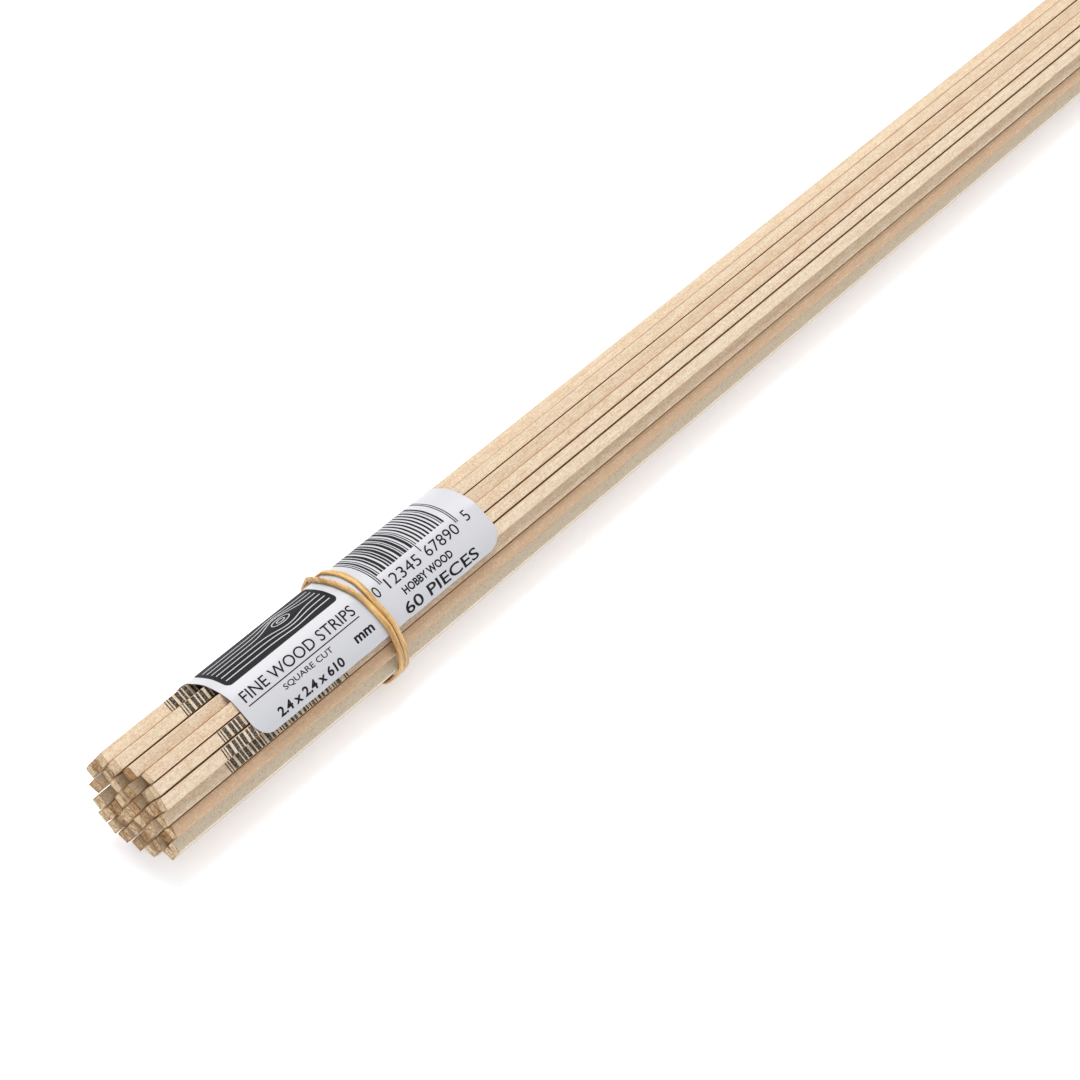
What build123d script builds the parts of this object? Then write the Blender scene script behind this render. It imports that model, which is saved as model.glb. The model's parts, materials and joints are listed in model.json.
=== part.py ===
from build123d import *
import math
import os
import random

# A retail bundle of square basswood strips, held by two doubled rubber bands and
# marked by one self-adhesive paper label. Millimetres.
# +X runs along the strips, away from the labelled end. +Z is up.
# The origin is the middle of the rectangle that the bundle covers on the bench.

# ---- strips ----
STRIP_SIDE = 25.4 * 3 / 32
STRIP_LENGTH = 609.6
STRIP_COUNT = 60
CORE_COUNT = 4
STAGGER = 2.7

# ---- how the strips lie together ----
BUNDLE_RADIUS = 11.65
LOOSE_RADIUS = 12.6
FLOOR_SHARE = 0.95
STRIP_GAP = 0.05
GRID_SLACK = 1.06
GRID_REACH = 7
TURN_SPREAD = 0.05
JIGGLE = 0.015
TOUCHING = 0.15
PUSH_SHARE = 0.9
HOLD_SHARE = 0.5
SETTLE_PASSES = 900
SHRINK_SHARE = 0.6
DRAW_IN = 0.003
LAYOUT_SEED = 25
STAGGER_SEED = 82061

# ---- paper label ----
LABEL_LENGTH = 68.7
LABEL_INSET = 22.3
LABEL_TOP_EDGE = 64.0
LABEL_LOW_EDGE = -80.0
LABEL_THICKNESS = 0.10
LABEL_LIFT = 0.02
LABEL_CORNER = 4.0
FAN_STEPS = 6

# ---- rubber bands, as stretched on the bundle ----
BAND_WIDTH = 1.3
BAND_THICKNESS = 0.65
BAND_STRAND_GAP = 0.5
BAND_INSET = 58.5
BAND_LIFT = 0.20
CROSSING_MIDDLE = -95.0
CROSSING_HALF_ANGLE = 30.0
BAND_FLAT = 0.10


# ---- the section: where each strip lies ----
def corner_points(strip, half):
    """The four corners (y, z) of a square given as [y, z, turn]."""
    y, z, turn = strip
    c = math.cos(turn) * half
    s = math.sin(turn) * half
    return [(y + c - s, z + s + c), (y - c - s, z - s + c),
            (y - c + s, z - s - c), (y + c + s, z + s - c)]


def first_layout(rng, side):
    """The strips as a slack square grid at one lean, cut to a round outline."""
    lean = rng.uniform(0, math.pi / 2)
    shift_u, shift_v = rng.random(), rng.random()
    steps = range(-GRID_REACH, GRID_REACH)
    cells = [(i + shift_u, j + shift_v) for i in steps for j in steps]
    cells.sort(key=lambda cell: cell[0] ** 2 + cell[1] ** 2)
    pitch = side * GRID_SLACK
    c, s = math.cos(lean), math.sin(lean)
    return [[pitch * (u * c - v * s), pitch * (u * s + v * c), lean + rng.gauss(0, TURN_SPREAD)]
            for u, v in cells[:STRIP_COUNT]]


def deepest_contact(a, b, half):
    """How two squares overlap, as (depth, normal, point, owner, other), or None."""
    best = None
    for owner, other in ((a, b), (b, a)):
        points = corner_points(other, half)
        for quarter in (0, 1):
            angle = owner[2] + quarter * math.pi / 2
            ny, nz = math.cos(angle), math.sin(angle)
            if (other[0] - owner[0]) * ny + (other[1] - owner[1]) * nz < 0:
                ny, nz = -ny, -nz
            reach = [(y - owner[0]) * ny + (z - owner[1]) * nz for y, z in points]
            depth = half - min(reach)
            if depth <= 0:
                return None
            if best is None or depth < best[0]:
                near = [p for p, r in zip(points, reach) if r < min(reach) + TOUCHING]
                point = (sum(p[0] for p in near) / len(near), sum(p[1] for p in near) / len(near))
                best = (depth, (ny, nz), point, owner, other)
    return best


def push(strip, point, normal, amount, inertia):
    """Move a strip by amount along normal, and turn it by the push's lever."""
    lever = (point[0] - strip[0]) * normal[1] - (point[1] - strip[1]) * normal[0]
    strip[0] += normal[0] * amount
    strip[1] += normal[1] * amount
    strip[2] += amount * lever / inertia


def give(strip, point, normal, inertia):
    """How readily a strip yields to a push at a point."""
    lever = (point[0] - strip[0]) * normal[1] - (point[1] - strip[1]) * normal[0]
    return 1 + lever * lever / inertia


def part_strips(strips, half, inertia):
    """Push every overlapping pair of strips apart."""
    for i, a in enumerate(strips):
        for b in strips[i + 1:]:
            if (b[0] - a[0]) ** 2 + (b[1] - a[1]) ** 2 >= 8 * half * half:
                continue
            contact = deepest_contact(a, b, half)
            if contact is None:
                continue
            depth, (ny, nz), point, owner, other = contact
            yielding = give(owner, point, (ny, nz), inertia) + give(other, point, (ny, nz), inertia)
            amount = PUSH_SHARE * depth / yielding
            push(other, point, (ny, nz), amount, inertia)
            push(owner, point, (-ny, -nz), amount, inertia)


def hold_in(strips, half, inertia, radius):
    """Push the corners inside the round of the bands, and up off the bench."""
    floor = -radius * FLOOR_SHARE
    for strip in strips:
        for point in corner_points(strip, half):
            reach = math.hypot(*point)
            if reach > radius:
                normal = (-point[0] / reach, -point[1] / reach)
                amount = HOLD_SHARE * (reach - radius) / give(strip, point, normal, inertia)
                push(strip, point, normal, amount, inertia)
        for point in corner_points(strip, half):
            if point[1] < floor:
                amount = HOLD_SHARE * (floor - point[1]) / give(strip, point, (0, 1), inertia)
                push(strip, point, (0, 1), amount, inertia)


def settle_section():
    """Draw the loose strips together into a round bundle. Returns [y, z, turn] for each."""
    rng = random.Random(LAYOUT_SEED)
    side = STRIP_SIDE + STRIP_GAP
    half = side / 2
    inertia = side * side / 6
    strips = first_layout(rng, side)
    for number in range(SETTLE_PASSES):
        time = number / SETTLE_PASSES
        drawn = min(1.0, time / SHRINK_SHARE)
        radius = LOOSE_RADIUS + (BUNDLE_RADIUS - LOOSE_RADIUS) * drawn
        for strip in strips:
            strip[0] *= 1 - DRAW_IN * (1 - time)
            strip[1] *= 1 - DRAW_IN * (1 - time)
            if drawn < 1:
                for axis in range(3):
                    strip[axis] += rng.gauss(0, JIGGLE * (1 - drawn))
        part_strips(strips, half, inertia)
        hold_in(strips, half, inertia, radius)
        for strip in strips:
            strip[:] = [round(value, 6) for value in strip]
    return strips


# ---- the hull: the line that the label and the bands follow ----
def turn_of(a, b, c):
    """Twice the area of triangle abc: positive when it runs anticlockwise."""
    return (b[0] - a[0]) * (c[1] - a[1]) - (b[1] - a[1]) * (c[0] - a[0])


def hull_of(points):
    """The convex hull of points (y, z), anticlockwise."""
    halves = []
    for ordered in (sorted(points), sorted(points, reverse=True)):
        chain = []
        for point in ordered:
            while len(chain) > 1 and turn_of(chain[-2], chain[-1], point) <= 0:
                chain.pop()
            chain.append(point)
        halves += chain[:-1]
    return halves


def place_on_bench(strips):
    """Centre the banded section on Y, and lift it so that the bands bear on z = 0.

    A band is twice as thick at its crossing, on the +Y side, and BAND_FLAT thinner
    underneath, where the bundle's weight flattens it against the bench.
    """
    half = STRIP_SIDE / 2
    points = [point for strip in strips for point in corner_points(strip, half)]
    shift_y = -(min(p[0] for p in points) + max(p[0] for p in points) + BAND_THICKNESS) / 2
    shift_z = BAND_LIFT + BAND_THICKNESS - BAND_FLAT - min(p[1] for p in points)
    return [(strip[0] + shift_y, strip[1] + shift_z, strip[2]) for strip in strips]


def staggers():
    """How far each strip's ends stand off the bundle's, as much one way as the other."""
    rng = random.Random(STAGGER_SEED)
    offsets = [rng.triangular(-STAGGER, STAGGER, 0) for _ in range(STRIP_COUNT)]
    middle = (min(offsets) + max(offsets)) / 2
    return [offset - middle for offset in offsets]


def angle_of(point):
    """Section angle in degrees, from straight up, positive towards -Y."""
    return math.degrees(math.atan2(middle_y - point[0], point[1] - middle_z))


def ray(angle, distance):
    """The point (y, z) at a distance from the middle, at a section angle."""
    turn = math.radians(angle)
    return (middle_y - distance * math.sin(turn), middle_z + distance * math.cos(turn))


def hull_distance(angle):
    """How far the hull is from the middle at a section angle."""
    far = ray(angle, 1.0)
    dy, dz = far[0] - middle_y, far[1] - middle_z
    for a, b in zip(hull, hull[1:] + hull[:1]):
        ey, ez = b[0] - a[0], b[1] - a[1]
        cross = dy * ez - dz * ey
        if cross <= 0:
            continue
        reach = ((a[0] - middle_y) * ez - (a[1] - middle_z) * ey) / cross
        along = ((a[0] - middle_y) * dz - (a[1] - middle_z) * dy) / cross
        if 0 <= along <= 1:
            return reach
    raise ValueError("the middle is outside the hull")


# ---- the layout ----
section = place_on_bench(settle_section())
hull = hull_of([point for strip in section for point in corner_points(strip, STRIP_SIDE / 2)])
middle_y = (min(p[0] for p in hull) + max(p[0] for p in hull)) / 2
middle_z = (min(p[1] for p in hull) + max(p[1] for p in hull)) / 2
by_depth = sorted(zip(section, staggers()), key=lambda item: math.hypot(item[0][0] - middle_y,
                                                                        item[0][1] - middle_z))
core = by_depth[:CORE_COUNT]
outer = sorted(by_depth[CORE_COUNT:], key=lambda item: angle_of(item[0]))
near_end = -STRIP_LENGTH / 2
label_start = near_end + LABEL_INSET
near_band_x = near_end + BAND_INSET
far_band_x = -near_band_x


# ---- the pieces ----
def add_strip(strip, stagger):
    """Extrude one strip inside the part that is being built."""
    y, z, turn = strip
    with BuildSketch(Plane.YZ.offset(near_end + stagger)) as profile:
        with Locations((y, z)):
            Rectangle(STRIP_SIDE, STRIP_SIDE, rotation=math.degrees(turn))
    extrude(profile.sketch, amount=STRIP_LENGTH)


def wrap_sketch(lift, thickness):
    """A closed wrap round the hull, as a flat sketch: lift is its inner side's clearance."""
    with BuildSketch(mode=Mode.PRIVATE) as inside:
        Polygon(*hull, align=None)
        offset(amount=lift, kind=Kind.ARC)
    with BuildSketch(mode=Mode.PRIVATE) as wrap:
        Polygon(*hull, align=None)
        offset(amount=lift + thickness, kind=Kind.ARC)
        add(inside.sketch, mode=Mode.SUBTRACT)
    return wrap.sketch


def sector(start, end):
    """Corner points of a fan that covers the section angles from start to end."""
    reach = 3 * BUNDLE_RADIUS
    return [(middle_y, middle_z)] + [ray(start + (end - start) * i / FAN_STEPS, reach)
                                     for i in range(FAN_STEPS + 1)]


def round_label_corner(angle, x, side_x):
    """Round one corner of the label; side_x is +1 or -1, from the corner to the label."""
    distance = hull_distance(angle) + LABEL_LIFT + LABEL_THICKNESS
    up, out = ray(angle, distance), ray(angle, distance + 1)
    normal = (0, out[0] - up[0], out[1] - up[1])
    plane = Plane(origin=(x, *up), x_dir=(1, 0, 0), z_dir=normal)
    label_below = 1 if angle == LABEL_TOP_EDGE else -1
    with BuildSketch(plane) as waste:
        with Locations((side_x * LABEL_CORNER / 2, -label_below * LABEL_CORNER / 2)):
            Rectangle(LABEL_CORNER, LABEL_CORNER)
        with Locations((side_x * LABEL_CORNER, -label_below * LABEL_CORNER)):
            Circle(LABEL_CORNER, mode=Mode.SUBTRACT)
    extrude(waste.sketch, amount=LABEL_CORNER / 2, both=True, mode=Mode.SUBTRACT)


def build_band(name, x):
    """One rubber band, wound twice: two strands side by side, joined where they cross."""
    reach = BAND_WIDTH + BAND_STRAND_GAP / 2
    with BuildPart() as band:
        for start in (x - reach, x + BAND_STRAND_GAP / 2):
            with BuildSketch(Plane.YZ.offset(start)):
                add(wrap_sketch(BAND_LIFT, BAND_THICKNESS))
            extrude(amount=BAND_WIDTH)
        with BuildSketch(Plane.YZ.offset(x - reach)):
            add(wrap_sketch(BAND_LIFT, 2 * BAND_THICKNESS))
            Polygon(*sector(CROSSING_MIDDLE - CROSSING_HALF_ANGLE,
                            CROSSING_MIDDLE + CROSSING_HALF_ANGLE),
                    align=None, mode=Mode.INTERSECT)
        extrude(amount=2 * reach)
        split(bisect_by=Plane.XY, keep=Keep.TOP)
    save(band, name)


def save(piece, name):
    """Label a finished piece and write its STEP file."""
    piece.part.label = name
    export_step(piece.part, f"parts/{name}.step")


def build_label():
    """The paper label: a thin skin part way round the hull, with rounded corners."""
    with BuildPart() as label:
        with BuildSketch(Plane.YZ.offset(label_start)):
            add(wrap_sketch(LABEL_LIFT, LABEL_THICKNESS))
            Polygon(*sector(LABEL_LOW_EDGE, LABEL_TOP_EDGE), align=None, mode=Mode.INTERSECT)
        extrude(amount=LABEL_LENGTH)
        for angle in (LABEL_TOP_EDGE, LABEL_LOW_EDGE):
            round_label_corner(angle, label_start, 1)
            round_label_corner(angle, label_start + LABEL_LENGTH, -1)
    save(label, "label")


os.makedirs("parts", exist_ok=True)

for number, (strip, stagger) in enumerate(outer, start=1):
    with BuildPart() as single:
        add_strip(strip, stagger)
    save(single, f"strip_{number:02d}")

with BuildPart() as core_strips:
    for strip, stagger in core:
        add_strip(strip, stagger)
save(core_strips, "core_strips")

build_label()
build_band("near_rubber_band", near_band_x)
build_band("far_rubber_band", far_band_x)
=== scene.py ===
"""A bundle of square wood strips with a paper label and two doubled rubber bands.

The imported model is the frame: every piece stands where its CAD node stands, in metres.
The strips run along X, the labelled end is at -X, and the bundle lies on Z = 0.
"""

import json
import math
import random

import bmesh
import bpy
from bpy.props import FloatProperty, FloatVectorProperty, PointerProperty
from bpy.types import Operator, Panel, PropertyGroup
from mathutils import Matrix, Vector


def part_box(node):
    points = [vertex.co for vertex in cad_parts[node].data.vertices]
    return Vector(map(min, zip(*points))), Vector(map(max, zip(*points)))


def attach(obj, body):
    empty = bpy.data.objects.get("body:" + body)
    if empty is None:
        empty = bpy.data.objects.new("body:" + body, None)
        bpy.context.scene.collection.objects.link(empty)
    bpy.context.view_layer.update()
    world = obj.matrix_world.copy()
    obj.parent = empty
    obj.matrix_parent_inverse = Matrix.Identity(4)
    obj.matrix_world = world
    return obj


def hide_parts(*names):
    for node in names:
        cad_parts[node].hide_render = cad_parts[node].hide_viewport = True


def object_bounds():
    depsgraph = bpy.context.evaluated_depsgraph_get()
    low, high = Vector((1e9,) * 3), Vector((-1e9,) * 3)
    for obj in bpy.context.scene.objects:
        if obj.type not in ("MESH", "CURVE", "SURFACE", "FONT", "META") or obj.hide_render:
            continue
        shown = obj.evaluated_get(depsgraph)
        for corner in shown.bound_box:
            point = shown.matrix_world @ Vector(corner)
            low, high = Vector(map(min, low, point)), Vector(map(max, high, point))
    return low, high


bl_info = {
    "name": "Wood Strip Bundle",
    "version": (1, 0, 0),
    "blender": (4, 5, 0),
    "location": "View3D > Sidebar > Strip Bundle",
    "description": "Builds a bundle of square wood strips, its paper label and its rubber bands",
    "category": "Add Mesh",
}

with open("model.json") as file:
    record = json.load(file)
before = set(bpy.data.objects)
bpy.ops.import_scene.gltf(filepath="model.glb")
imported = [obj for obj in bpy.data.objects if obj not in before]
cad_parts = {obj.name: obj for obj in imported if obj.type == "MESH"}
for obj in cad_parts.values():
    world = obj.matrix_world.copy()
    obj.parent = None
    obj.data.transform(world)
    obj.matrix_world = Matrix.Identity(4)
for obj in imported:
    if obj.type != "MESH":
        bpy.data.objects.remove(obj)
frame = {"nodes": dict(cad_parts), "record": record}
cad_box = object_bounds()

MM = 0.001
ROOT = "wrapped_strips"
CORE_NODE = "core_strips"
LABEL_NODE = "label"
STRIP_NODES = sorted(name for name in frame["nodes"] if name.startswith("strip_"))
BODY_OF_NODE = {node: body for body, nodes in frame["record"]["behaviour"]["bodies"].items()
                for node in nodes}
FRONT = 36.0  # section angle that faces the front, in degrees


# ---------------------------------------------------------------- the strips in the frame
class Strip:
    """One strip of the frame. p and q run across its square section, and x along it.

    Side 0 faces +p, side 1 faces +q, side 2 faces -p and side 3 faces -q.
    """

    SAME_CORNER = 0.1 * MM  # points nearer than this in section are one corner
    GRAIN_SHIFTS = (0, 3)  # metres into the wood's grain, so that no two strips look alike
    TONES = (0.12, 0.62)
    END_TONES = (-0.2, 0.95)
    PRINT_SHIFTS = (-1.2, 1.2)  # millimetres

    def __init__(self, points, seed, tone=None):
        section = []
        for point in points:
            if all((point.yz - corner).length > self.SAME_CORNER for corner in section):
                section.append(point.yz)
        self.middle = sum(section, Vector((0, 0))) / len(section)
        reach = section[0] - self.middle
        self.half = reach.length / math.sqrt(2)
        self.turn = (math.atan2(reach.y, reach.x) + math.pi / 4) % (math.pi / 2)
        self.start = min(point.x for point in points)
        self.end = max(point.x for point in points)
        self.seed = seed
        draw = random.Random(seed)
        self.offset = Vector([draw.uniform(*self.GRAIN_SHIFTS) for _ in range(3)])
        self.tone = draw.uniform(*self.TONES) if tone is None else tone
        self.end_tone = draw.uniform(*self.END_TONES)
        self.print_shift = draw.uniform(*self.PRINT_SHIFTS) * MM

    def place(self, x, p, q):
        c, s = math.cos(self.turn), math.sin(self.turn)
        return Vector((x, self.middle.x + p * c - q * s, self.middle.y + p * s + q * c))

    def corners(self):
        signs = ((1, 1), (-1, 1), (-1, -1), (1, -1))
        return [self.place(0, a * self.half, b * self.half).yz for a, b in signs]

    def side_facing(self, angle):
        """The side that faces nearest to a section angle."""
        def off(side):
            facing = math.degrees(self.turn) + 90 * side - 90
            return abs((facing - angle + 180) % 360 - 180)
        return min(range(4), key=off)


WELD = 0.001 * MM  # points of one solid nearer than this are the same point


def solids_of(node):
    """The points of each separate solid in a CAD node."""
    shape = bmesh.new()
    shape.from_mesh(frame["nodes"][node].data)
    bmesh.ops.remove_doubles(shape, verts=shape.verts, dist=WELD)
    waiting = list(shape.verts)
    groups = []
    while waiting:
        group = [waiting[0]]
        for vert in group:
            for edge in vert.link_edges:
                other = edge.other_vert(vert)
                if other not in group:
                    group.append(other)
        groups.append([vert.co.copy() for vert in group])
        waiting = [vert for vert in waiting if vert not in group]
    shape.free()
    return groups


# Tone runs from 0, the palest wood, to 1, the warmest; below 0 the wood turns greyer.
# strip_43's tone of 1.0 is partly its own warm wood and partly painted shade, standing in for the
# shade on its recessed face low at the front.
FRONT_TONES_AND_SHADE = {
    "strip_23": 0.36, "strip_27": 0.28, "strip_30": 0.48, "strip_33": 0.56, "strip_36": 0.44,
    "strip_37": 0.36, "strip_40": 0.40, "strip_43": 1.0, "strip_46": -0.65}
# How far along from its usual place each printed front strip's print starts.
FRONT_PRINTED = {"strip_23": 1.1 * MM, "strip_27": 1.5 * MM, "strip_36": 1.1 * MM,
                 "strip_37": 0.0, "strip_40": 1.0 * MM}
FIRST_SEED, SEEDS_PER_NODE = 100, 10

strips = {}
for index, name in enumerate(STRIP_NODES + [CORE_NODE]):
    first_seed = FIRST_SEED + SEEDS_PER_NODE * index
    strips[name] = [Strip(points, first_seed + k, FRONT_TONES_AND_SHADE.get(name))
                    for k, points in enumerate(solids_of(name))]
every_strip = [strip for group in strips.values() for strip in group]


# ---------------------------------------------------------------- the line round the strips
def turn_of(a, b, c):
    """Above zero where the path from a to b to c turns anticlockwise."""
    return (b.x - a.x) * (c.y - a.y) - (b.y - a.y) * (c.x - a.x)


def hull_of(points):
    """The convex hull of points (y, z), anticlockwise."""
    found = []
    for reverse in (False, True):
        chain = []
        for point in sorted(points, key=tuple, reverse=reverse):
            while len(chain) > 1 and turn_of(chain[-2], chain[-1], point) <= 0:
                chain.pop()
            chain.append(point)
        found += chain[:-1]
    return found


class Wrap:
    """The closed line drawn tight round the strips, eased over their corners.

    A section angle is in degrees from straight up, positive towards -Y.
    """

    STEPS_PER_DEGREE = 4
    PASSES = 5  # times that the line is eased and lifted back off the corners
    WINDOW = 2.5  # easings to each side that count towards a point
    SLACK = 1e-6  # share of an edge by which a ray may miss its ends

    def __init__(self, easing):
        self.hull = hull_of([corner for strip in every_strip for corner in strip.corners()])
        ys, zs = zip(*self.hull)
        self.middle = Vector(((min(ys) + max(ys)) / 2, (min(zs) + max(zs)) / 2))
        self.steps = 360 * self.STEPS_PER_DEGREE
        bare = [self.hull_reach(i / self.STEPS_PER_DEGREE) for i in range(self.steps)]
        drawn = bare
        for _ in range(self.PASSES):
            drawn = [max(bare[i], self.eased(drawn, i, easing)) for i in range(self.steps)]
        self.table = [self.eased(drawn, i, easing / 2) for i in range(self.steps)]

    def hull_reach(self, angle):
        """How far the bare hull is from the middle of the bundle at an angle."""
        turn = math.radians(angle)
        aim = Vector((-math.sin(turn), math.cos(turn)))
        for a, b in zip(self.hull, self.hull[1:] + self.hull[:1]):
            edge = b - a
            cross = aim.x * edge.y - aim.y * edge.x
            if cross <= 0:
                continue
            near = a - self.middle
            along = (near.x * aim.y - near.y * aim.x) / cross
            if -self.SLACK <= along <= 1 + self.SLACK:
                return (near.x * edge.y - near.y * edge.x) / cross
        raise ValueError("the middle of the bundle is outside its hull")

    def eased(self, line, i, easing):
        """The line's reach at step i, averaged over its neighbours; easing is in degrees."""
        spread = round(self.WINDOW * easing * self.STEPS_PER_DEGREE)
        total = weight = 0.0
        for k in range(-spread, spread + 1):
            share = math.exp(-0.5 * (k / self.STEPS_PER_DEGREE / easing) ** 2)
            total += share * line[(i + k) % self.steps]
            weight += share
        return total / weight

    def reach(self, angle):
        """How far the line is from the middle of the bundle at an angle."""
        place = angle % 360 * self.STEPS_PER_DEGREE
        low = int(place)
        share = place - low
        near, far = self.table[low % self.steps], self.table[(low + 1) % self.steps]
        return near * (1 - share) + far * share

    def point(self, x, angle, lift):
        """The point at x along the bundle, at an angle and lifted off the line."""
        distance = self.reach(angle) + lift
        turn = math.radians(angle)
        return Vector((x, self.middle.x - distance * math.sin(turn),
                       self.middle.y + distance * math.cos(turn)))


wrap = Wrap(easing=4.0)


# ---------------------------------------------------------------- settings
def length_setting(name, default, description):
    return FloatProperty(name=name, description=description, default=default, min=0.0,
                         subtype="DISTANCE", unit="LENGTH", precision=6)


def angle_setting(name, degrees, description):
    return FloatProperty(name=name, description=description, default=math.radians(degrees),
                         subtype="ANGLE", unit="ROTATION")


def number_setting(name, default, description):
    return FloatProperty(name=name, description=description, default=default, min=0.0)


def place_setting(name, default, description):
    return FloatVectorProperty(name=name, description=description, default=default, size=3,
                               subtype="TRANSLATION", unit="LENGTH")


def colour_setting(name, default, description):
    return FloatVectorProperty(name=name, description=description, default=default, size=3,
                               subtype="COLOR", min=0.0, max=1.0)


class StripSettings(PropertyGroup):
    """Sizes and colours of the wood strips."""
    edge_radius: length_setting("Edge radius", 0.15 * MM, "How far the long edges are worn round")
    unevenness: length_setting("Unevenness", 0.05 * MM, "How far a sawn side dips")
    # Painted shade: the middle point of each rounded long edge is made browner, so the seams
    # between strips show brown shade.
    painted_seam_shade: number_setting("Seam shade", 0.7, "How much browner the long edges are painted, as seam shade")
    end_wear: length_setting("End wear", 0.26 * MM, "How rough the sawn ends are")
    end_chip: length_setting("End chips", 0.7 * MM, "How deep a chipped end corner is")
    print_start: length_setting("Print start", 15.5 * MM, "From a strip's end to its printed bars")
    print_module: length_setting("Print module", 0.295 * MM, "Width of the narrowest printed bar")
    pale_wood: colour_setting("Pale wood", (0.745, 0.65, 0.50), "Colour of the palest strips")
    warm_wood: colour_setting("Warm wood", (0.56, 0.375, 0.235), "Colour of the warmest strips")
    grey_wood: colour_setting("Grey wood", (0.75, 0.705, 0.585), "Colour of the greyest strips")
    pale_end: colour_setting("Pale end grain", (0.80, 0.64, 0.43), "Colour of the sawn ends")
    dark_end: colour_setting("Dark end grain", (0.36, 0.19, 0.075), "Colour of the ends' pores")
    ink: colour_setting("Ink", (0.022, 0.020, 0.020), "Colour of the bars printed on the wood")


class LabelSettings(PropertyGroup):
    """Sizes and colours of the paper label."""
    thickness: length_setting("Thickness", 0.10 * MM, "Thickness of the paper")
    corner: length_setting("Corner radius", 4.0 * MM, "Radius of the label's corners")
    glue: length_setting("Glue", 0.02 * MM, "Thickness of the glue under the paper")
    edge_curl: length_setting("Edge curl", 0.12 * MM, "How far the edges lift off the wood")
    front_edge: angle_setting("Front edge", 64.0, "Section angle of the edge at the front")
    back_edge: angle_setting("Back edge", -80.0, "Section angle of the edge behind the bundle")
    paper: colour_setting("Paper", (0.535, 0.535, 0.563), "Colour of the paper")
    ink: colour_setting("Ink", (0.006, 0.006, 0.007), "Colour of the print")


class BandSettings(PropertyGroup):
    """Sizes and colours of the rubber bands."""
    width: length_setting("Width", 1.24 * MM, "Width of the stretched rubber")
    thickness: length_setting("Thickness", 0.62 * MM, "Thickness of the stretched rubber")
    clearance: length_setting("Clearance", 0.15 * MM, "From the strips to the rubber")
    spread: length_setting("Spread", 1.55 * MM, "How far a loose strand swings sideways")
    pinch: length_setting("Pinch", 0.67 * MM, "How far a tight strand lies from the middle")
    crossing: angle_setting("Crossing", -66.0, "Section angle where the strands cross")
    lean: length_setting("Lean", 1.5 * MM, "How far the ring leans along the bundle")
    pale_rubber: colour_setting("Pale rubber", (0.80, 0.53, 0.21), "Colour of the rubber")
    dark_rubber: colour_setting("Dark rubber", (0.36, 0.18, 0.045), "Colour of its streaks")


class StageSettings(PropertyGroup):
    """The camera, the lights and the floor."""
    camera_place: place_setting("Camera", (-0.5667, -0.28915, 0.39495), "Where the camera stands")
    camera_aim: FloatVectorProperty(name="Aim", description="The way the camera looks", size=3,
                                    default=(0.608, 0.465, -0.643), subtype="DIRECTION")
    lens: FloatProperty(name="Lens", description="Focal length, on a sensor 36 mm wide",
                        default=104.0, min=1.0, subtype="DISTANCE_CAMERA", unit="CAMERA")
    key_place: place_setting("Key light", (0.12, 0.36, 1.42), "Where the large light hangs")
    key_size: length_setting("Key size", 1.1, "Width of the large light")
    key_power: number_setting("Key power", 21.0, "Power of the large light, in watts")
    fill: number_setting("Fill", 0.70, "Strength of the even light from all round")
    backdrop: colour_setting("Backdrop", (1.0, 1.0, 1.0), "Colour behind the floor")
    floor: colour_setting("Floor", (0.915, 0.925, 0.94), "Colour of the floor")
    floor_glow: colour_setting("Floor glow", (0.345, 0.36, 0.39), "Light from the floor itself")
    floor_span: length_setting("Floor span", 30.0, "Width of the floor")


class BundleSettings(PropertyGroup):
    """All the settings of the bundle."""
    strips: PointerProperty(type=StripSettings)
    label: PointerProperty(type=LabelSettings)
    bands: PointerProperty(type=BandSettings)
    stage: PointerProperty(type=StageSettings)


# ---------------------------------------------------------------- shader nodes
def add_node(tree, kind, inputs=None, **choices):
    """A new node; an input is given a value or another node's output."""
    node = tree.nodes.new(kind)
    for name, value in choices.items():
        setattr(node, name, value)
    for key, value in (inputs or {}).items():
        if isinstance(value, bpy.types.NodeSocket):
            tree.links.new(value, node.inputs[key])
        else:
            node.inputs[key].default_value = value
    return node


def work_out(tree, operation, *values, clamp=False):
    node = add_node(tree, "ShaderNodeMath", dict(enumerate(values)), operation=operation)
    node.use_clamp = clamp
    return node.outputs[0]


def between(tree, share, a, b, blend="MIX"):
    """The colour that is share of the way from a to b."""
    node = add_node(tree, "ShaderNodeMix", {0: share, 6: a, 7: b}, data_type="RGBA",
                    blend_type=blend)
    return node.outputs[2]


def spread_out(tree, value, low, high):
    """A value from low to high, spread to 0 to 1."""
    node = add_node(tree, "ShaderNodeMapRange",
                    {"Value": value, "From Min": low, "From Max": high})
    return node.outputs["Result"]


def noise(tree, place, cells_per_mm, detail=2.0, roughness=0.5):
    """Noise that changes so many times in a millimetre along each axis."""
    scaled = add_node(tree, "ShaderNodeVectorMath",
                      {0: place, 1: [cells / MM for cells in cells_per_mm]}, operation="MULTIPLY")
    node = add_node(tree, "ShaderNodeTexNoise",
                    {"Vector": scaled.outputs[0], "Scale": 1.0, "Detail": detail,
                     "Roughness": roughness})
    return node.outputs["Fac"]


def new_group(name, inputs, outputs):
    """An empty shader node group, with its input and output nodes."""
    tree = bpy.data.node_groups.new(name, "ShaderNodeTree")
    for title, kind in inputs:
        tree.interface.new_socket(title, in_out="INPUT", socket_type="NodeSocket" + kind)
    for title, kind in outputs:
        tree.interface.new_socket(title, in_out="OUTPUT", socket_type="NodeSocket" + kind)
    given = tree.nodes.new("NodeGroupInput").outputs
    return tree, given, tree.nodes.new("NodeGroupOutput").inputs


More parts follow.
